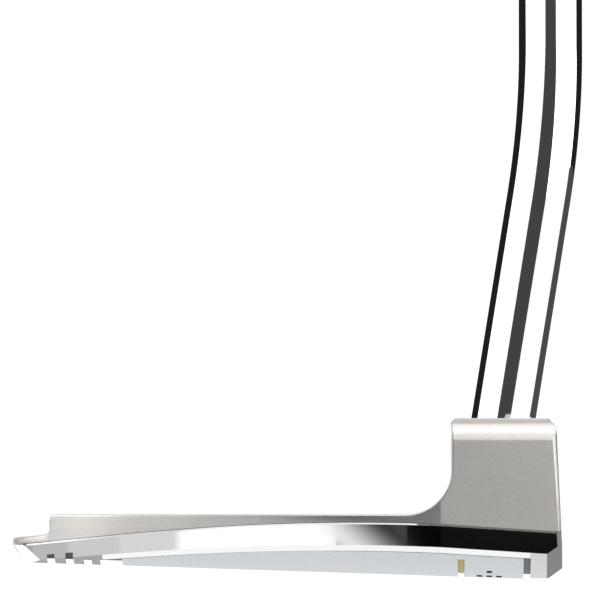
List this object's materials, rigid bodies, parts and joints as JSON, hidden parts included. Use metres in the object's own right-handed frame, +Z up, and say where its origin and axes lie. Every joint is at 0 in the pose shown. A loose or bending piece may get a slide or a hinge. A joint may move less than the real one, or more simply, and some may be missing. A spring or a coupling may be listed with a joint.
{
  "type": "mallet putter",
  "caption": "Right-handed mallet putter: rounded frame under a satin deck and tall striking block, with a bent steel shaft and a pistol grip.",
  "frame": {"origin": "the lowest point of the sole, on the ground, with the club at address", "axes": "+X to the target side that the face points to, -Y to the toe, +Y to the heel and the golfer, +Z up"},
  "size_m": [0.0918, 0.3532, 0.8154],
  "materials": {
    "polished_steel": "mirror polished",
    "satin_body": "bead blasted",
    "brushed_plate": "brushed heel to toe",
    "gold_strip": "satin",
    "insert_metal": "milled",
    "dense_metal": "sintered",
    "screw_steel": "machined",
    "shaft_chrome": "chrome plated",
    "white_fill": "enamel fill",
    "black_fill": "enamel fill",
    "black_pad": "moulded",
    "bonding_tape": "adhesive film",
    "epoxy": "cured resin",
    "band_plastic": "plain film band",
    "grip_rubber": "textured"
  },
  "bodies": {
    "root": {"base_frame": "polished_steel", "upper_body": "satin_body", "body_gasket": "black_pad", "sole_plate": "brushed_plate", "plate_tape": "bonding_tape", "groove_inlay": "gold_strip", "sole_marks": "black_fill", "face_insert": "insert_metal", "insert_pad": "black_pad", "toe_weight": "dense_metal", "heel_weight": "dense_metal", "rear_weight": "dense_metal", "frame_screws": "screw_steel", "dowel_pins": "screw_steel", "deck_sight_line": "white_fill", "topline_sight_mark": "white_fill", "shaft": "shaft_chrome", "shaft_adhesive": "epoxy", "shaft_tip_plug": "black_pad", "shaft_band": "band_plastic", "counterweight": "screw_steel", "grip_tape": "bonding_tape", "grip": "grip_rubber", "grip_cap": "grip_rubber"}
  },
  "joints": []
}
